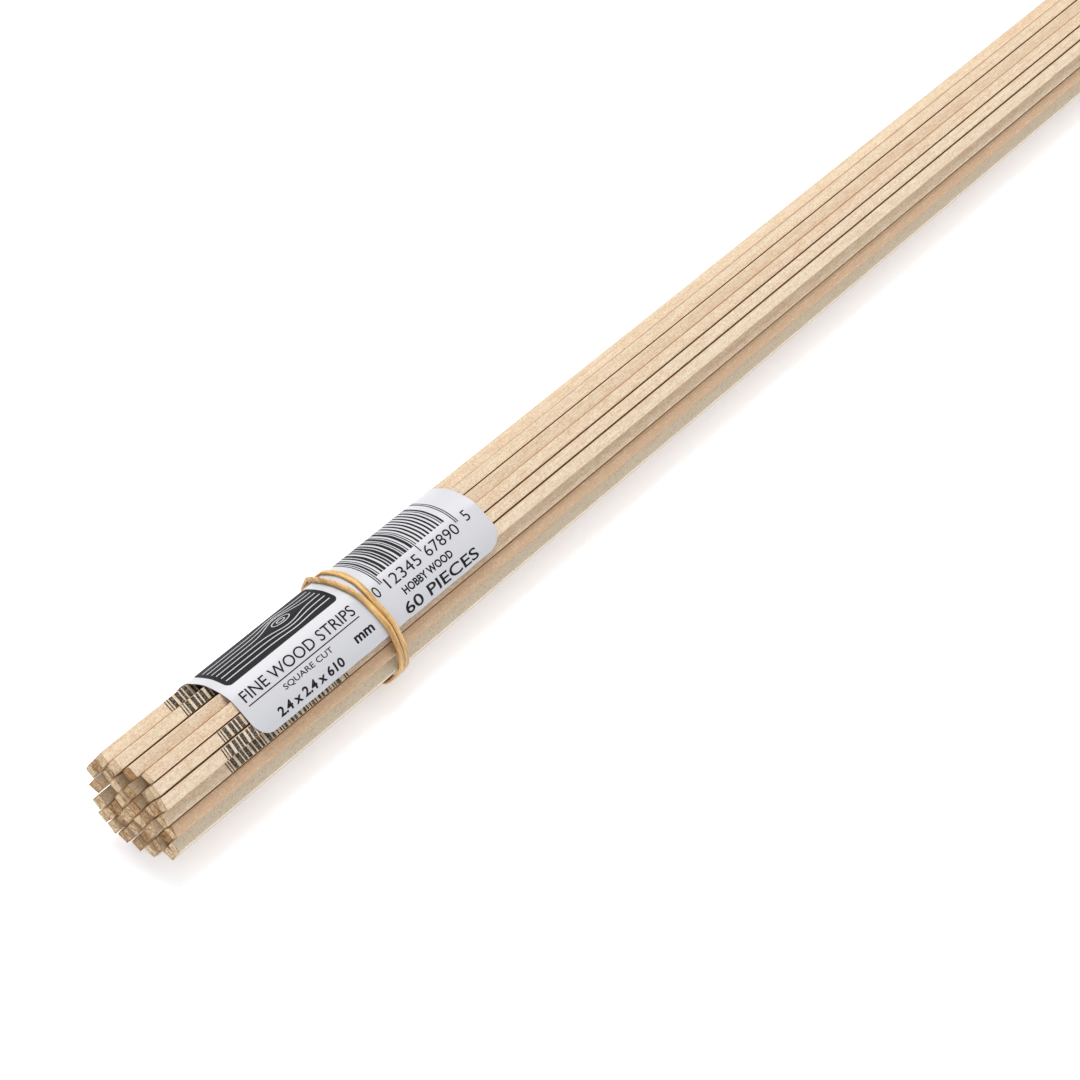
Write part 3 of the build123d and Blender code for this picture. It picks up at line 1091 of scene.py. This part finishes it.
def build_print(settings):
    ink = LabelPrint(settings)
    draw_grain_panel(ink)
    draw_barcode(ink)
    # Each line's words, where it starts and ends, its foot and its top, and added weight.
    ink.words("FINE WOOD STRIPS", 2.0, 32.0, 7.05, 9.30, 0.005)
    ink.rule(2.0, 32.0, 6.35, 0.22)
    ink.words("SQUARE CUT", 10.0, 23.0, 4.2, 5.5, 0.01)
    ink.words("2.4 x 2.4 x 610", 6.0, 23.5, 1.1, 2.95, 0.03)
    ink.words("mm", 28.0, 33.0, 2.6, 4.0, 0.03)
    ink.words("0", 37.6, 39.0, 6.6, 8.9)
    ink.words("12345", 41.2, 50.6, 6.6, 8.9)
    ink.words("67890", 52.4, 61.8, 6.6, 8.9)
    ink.words("5", 64.4, 65.8, 7.3, 9.6)
    ink.words("HOBBY WOOD", 43.0, 57.0, 3.9, 5.5, 0.03)
    ink.words("60 PIECES", 41.0, 62.0, 0.7, 2.9, 0.012)
    piece = new_piece("label_print", ink.points, ink.faces,
                      [label_ink_material(settings), bpy.data.materials["Label paper"]],
                      ink.slots, [False] * len(ink.faces))
    set_attribute(piece, "sheet", ink.flat)
    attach(piece, ROOT)


# ---------------------------------------------------------------- the rubber bands
def smooth_step(value, low, high):
    share = min(max((value - low) / (high - low), 0.0), 1.0)
    return share * share * (3 - 2 * share)


def curve_through(keys, x):
    """A smooth curve through keys (x, value)."""
    i = max(1, min(len(keys) - 3, sum(1 for key in keys if key[0] <= x) - 1))
    (x0, y0), (x1, y1), (x2, y2), (x3, y3) = keys[i - 1:i + 3]
    span = x2 - x1
    share = (x - x1) / span
    slope1, slope2 = span * (y2 - y0) / (x2 - x0), span * (y3 - y1) / (x3 - x1)
    a = 2 * (y1 - y2) + slope1 + slope2
    b = 3 * (y2 - y1) - 2 * slope1 - slope2
    return ((a * share + b) * share + slope1) * share + y1


class Band:
    """One rubber band taken twice round the bundle. Its two strands cross once."""

    STEP = 1.5  # degrees between sections
    SECTION = 16
    SQUARENESS = 0.55  # 1 is an oval section, and 0 a square one
    # Degrees after the crossing, with shares of the pinch and of the spread.
    PATH = ((-44, -1.0, 0.0), (0, 0.0, 0.0), (21, 0.0, 0.78), (44, 0.0, 1.0), (68, 0.0, 0.85),
            (94, 1.06, 0.0), (120, 1.0, 0.0), (300, 1.0, 0.0), (322, 0.8, 0.0), (360, 0.0, 0.0),
            (381, 0.0, -0.78))
    LEAN_MIDDLE, LEAN_ANGLE = 0.6, 10
    TWISTED = (4, 96)  # degrees after the crossing
    ROLLING, UNROLLING = (0, 14), (84, 100)  # degrees after the crossing
    ROLLED_WIDE, ROLLED_THICK = 1.12, 0.96  # shares of a round section of the same area
    ROLLED_LIFT = 0.06 * MM
    OVER = (13, 30)  # degrees from the crossing, between fully over and back down
    OVER_HEIGHT = 1.02  # thicknesses

    def __init__(self, node, settings, crossing, spread, twists, side):
        low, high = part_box(node)
        self.middle = (low.x + high.x) / 2
        self.settings = settings
        self.crossing = crossing
        self.twists = twists
        self.side = side
        self.keys = [(crossing + turn, tight * settings.pinch + loose * spread)
                     for turn, tight, loose in self.PATH]

    def swing(self, lap, angle):
        """How far to one side the strand lies, on lap 0 or 1."""
        sideways = curve_through(self.keys, angle)
        round_ring = math.cos(math.radians(angle - self.LEAN_ANGLE))
        leaning = self.settings.lean * (self.LEAN_MIDDLE - round_ring)
        return self.side * ((sideways if lap == 0 else -sideways) + leaning)

    def twist(self, lap, angle):
        """How far the near strand's section has turned."""
        if lap == 0:
            return 0.0
        low, high = (self.crossing + turn for turn in self.TWISTED)
        return math.tau * self.twists * smooth_step(angle, low, high)

    def rolled(self, lap, angle):
        """How far the rubber is rolled up round by its twist, from 0 to 1."""
        if lap == 0 or not self.twists:
            return 0.0
        on, off = ([self.crossing + turn for turn in turns]
                   for turns in (self.ROLLING, self.UNROLLING))
        return smooth_step(angle, *on) * (1 - smooth_step(angle, *off))

    def halves(self, rolled):
        """Half the section's width and thickness."""
        round_half = 0.5 * math.sqrt(self.settings.width * self.settings.thickness)
        wide, thick = self.settings.width / 2, self.settings.thickness / 2
        return (wide + (self.ROLLED_WIDE * round_half - wide) * rolled,
                thick + (self.ROLLED_THICK * round_half - thick) * rolled)

    def raised(self, lap, angle):
        """How far the middle of the rubber is off the clearance line."""
        settings = self.settings
        rolled = self.rolled(lap, angle)
        height = self.halves(rolled)[1] + self.ROLLED_LIFT * rolled
        off = min(abs(angle - self.crossing), abs(angle - self.crossing - 360))
        over = 1 - smooth_step(off, *self.OVER)
        if (lap == 0) == (angle > self.crossing + 180):
            height += over * self.OVER_HEIGHT * settings.thickness
        return height

    def ring(self, theta):
        """The rounded section at theta degrees along both laps, and its shader places."""
        lap = int((theta - self.crossing) // 360) % 2
        angle = self.crossing + (theta - self.crossing) % 360
        twist = self.twist(lap, angle)
        x = self.middle + self.swing(lap, angle)
        height = self.settings.clearance + self.raised(lap, angle)
        half_width, half_thick = self.halves(self.rolled(lap, angle))
        points, places = [], []
        for i in range(self.SECTION):
            turn = math.tau * i / self.SECTION
            c, s = math.cos(turn), math.sin(turn)
            across = half_width * math.copysign(abs(c) ** self.SQUARENESS, c)
            up = half_thick * math.copysign(abs(s) ** self.SQUARENESS, s)
            sideways = across * math.cos(twist) - up * math.sin(twist)
            outward = across * math.sin(twist) + up * math.cos(twist)
            point = wrap.point(x + sideways, angle, height + outward)
            point.z = max(point.z, cad_box[0].z)
            points.append(point)
            places.append((math.radians(theta) * wrap.reach(angle), across, up))
        return points, places

    def build(self, name, node, material):
        points, places, faces = [], [], []
        count = round(2 * 360 / self.STEP)
        for i in range(count):
            ring, own = self.ring(self.crossing + self.STEP * i)
            points += ring
            places += own
        for i in range(count):
            near, far = i * self.SECTION, (i + 1) % count * self.SECTION
            for k in range(self.SECTION):
                m = (k + 1) % self.SECTION
                faces.append((near + k, far + k, far + m, near + m))
        piece = new_piece(name, points, faces, [material])
        set_attribute(piece, "run", places)
        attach(piece, BODY_OF_NODE[node])
        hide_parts(node)


FAR_TURN, FAR_SPREAD = 12, 0.8  # how the far band differs from the near one


def build_bands(settings):
    material = rubber_material(settings)
    crossing = math.degrees(settings.crossing)
    near = Band("near_rubber_band", settings, crossing, settings.spread, twists=2, side=1)
    near.build("near_band_rubber", "near_rubber_band", material)
    far = Band("far_rubber_band", settings, crossing + FAR_TURN, FAR_SPREAD * settings.spread,
               twists=1, side=-1)
    far.build("far_band_rubber", "far_rubber_band", material)


# ---------------------------------------------------------------- the stage
SENSOR_WIDTH = 36.0
CLIP_START, CLIP_END = 0.01, 20.0
FLOOR_CELLS = 8


def add_camera(settings):
    data = bpy.data.cameras.new("Front camera")
    data.sensor_width = SENSOR_WIDTH
    data.lens = settings.lens
    data.clip_start, data.clip_end = CLIP_START, CLIP_END
    camera = bpy.data.objects.new("Front camera", data)
    camera.location = settings.camera_place
    camera.rotation_mode = "QUATERNION"
    camera.rotation_quaternion = Vector(settings.camera_aim).to_track_quat("-Z", "Y")
    bpy.context.scene.collection.objects.link(camera)
    bpy.context.scene.camera = camera


def add_key_light(settings):
    data = bpy.data.lights.new("Key light", "AREA")
    data.shape = "DISK"
    data.size = settings.key_size
    data.energy = settings.key_power
    light = bpy.data.objects.new("Key light", data)
    light.location = settings.key_place
    aim = -Vector(settings.key_place)
    light.rotation_mode = "QUATERNION"
    light.rotation_quaternion = aim.to_track_quat("-Z", "Y")
    bpy.context.scene.collection.objects.link(light)


def add_fill_light(settings):
    """Even light from all round; the camera sees the backdrop's colour in its place."""
    world = bpy.data.worlds.new("Studio")
    world.use_nodes = True
    tree = world.node_tree
    seen = add_node(tree, "ShaderNodeBackground", {"Color": opaque(settings.backdrop)})
    felt = tree.nodes["Background"]
    felt.inputs["Color"].default_value = (1.0, 1.0, 1.0, 1.0)
    felt.inputs["Strength"].default_value = settings.fill
    by_camera = tree.nodes.new("ShaderNodeLightPath").outputs["Is Camera Ray"]
    both = add_node(tree, "ShaderNodeMixShader", {0: by_camera, 1: felt.outputs[0],
                                                 2: seen.outputs[0]})
    tree.links.new(both.outputs[0], tree.nodes["World Output"].inputs["Surface"])
    bpy.context.scene.world = world


def add_floor(settings):
    half = settings.floor_span / 2
    row = FLOOR_CELLS + 1
    marks = [-half + settings.floor_span * i / FLOOR_CELLS for i in range(row)]
    grid = [(x, y, cad_box[0].z) for x in marks for y in marks]
    faces = [(i * row + k, (i + 1) * row + k, (i + 1) * row + k + 1, i * row + k + 1)
             for i in range(FLOOR_CELLS) for k in range(FLOOR_CELLS)]
    material, _, shader = new_material("White floor")
    shader.inputs["Base Color"].default_value = opaque(settings.floor)
    shader.inputs["Roughness"].default_value = 0.9
    shader.inputs["Specular IOR Level"].default_value = 0.1
    shader.inputs["Emission Color"].default_value = opaque(settings.floor_glow)
    shader.inputs["Emission Strength"].default_value = 1.0
    floor = new_piece("floor", grid, faces, [material])


def build_stage(settings):
    add_camera(settings)
    add_key_light(settings)
    add_fill_light(settings)
    add_floor(settings)
    bpy.context.scene.view_settings.view_transform = "Standard"


# ---------------------------------------------------------------- the add-on
class BUNDLE_OT_strips(Operator):
    """Build the wood strips from the frame's strips"""
    bl_idname = "bundle.strips"
    bl_label = "Wood Strips"

    def execute(self, context):
        build_strips(context.scene.bundle.strips)
        return {"FINISHED"}


class BUNDLE_OT_label(Operator):
    """Build the paper label that is glued round the strips"""
    bl_idname = "bundle.label"
    bl_label = "Paper Label"

    def execute(self, context):
        build_label(context.scene.bundle.label)
        return {"FINISHED"}


class BUNDLE_OT_print(Operator):
    """Print the label"""
    bl_idname = "bundle.print"
    bl_label = "Label Print"

    def execute(self, context):
        build_print(context.scene.bundle.label)
        return {"FINISHED"}


class BUNDLE_OT_bands(Operator):
    """Build the two doubled rubber bands"""
    bl_idname = "bundle.bands"
    bl_label = "Rubber Bands"

    def execute(self, context):
        build_bands(context.scene.bundle.bands)
        return {"FINISHED"}


class BUNDLE_OT_stage(Operator):
    """Set up the camera, the lights and the floor"""
    bl_idname = "bundle.stage"
    bl_label = "Stage"

    def execute(self, context):
        build_stage(context.scene.bundle.stage)
        return {"FINISHED"}


OPERATORS = (BUNDLE_OT_strips, BUNDLE_OT_label, BUNDLE_OT_print, BUNDLE_OT_bands,
             BUNDLE_OT_stage)


class BUNDLE_PT_panel(Panel):
    """Lists the bundle's pieces and their settings"""
    bl_idname = "BUNDLE_PT_panel"
    bl_label = "Strip Bundle"
    bl_space_type = "VIEW_3D"
    bl_region_type = "UI"
    bl_category = "Strip Bundle"

    def draw(self, context):
        bundle = context.scene.bundle
        groups = (("strips", OPERATORS[:1]), ("label", OPERATORS[1:3]), ("bands", OPERATORS[3:4]),
                  ("stage", OPERATORS[4:]))
        for name, operators in groups:
            box = self.layout.box()
            for operator in operators:
                box.operator(operator.bl_idname)
            settings = getattr(bundle, name)
            for field in settings.__annotations__:
                box.prop(settings, field)


CLASSES = (StripSettings, LabelSettings, BandSettings, StageSettings, BundleSettings,
           *OPERATORS, BUNDLE_PT_panel)


def register():
    for item in CLASSES:
        bpy.utils.register_class(item)
    bpy.types.Scene.bundle = PointerProperty(type=BundleSettings)


def unregister():
    del bpy.types.Scene.bundle
    for item in reversed(CLASSES):
        bpy.utils.unregister_class(item)


def main():
    register()
    bpy.ops.bundle.strips()
    bpy.ops.bundle.label()
    bpy.ops.bundle.print()
    bpy.ops.bundle.bands()
    bpy.ops.bundle.stage()


if __name__ == "__main__":
    main()
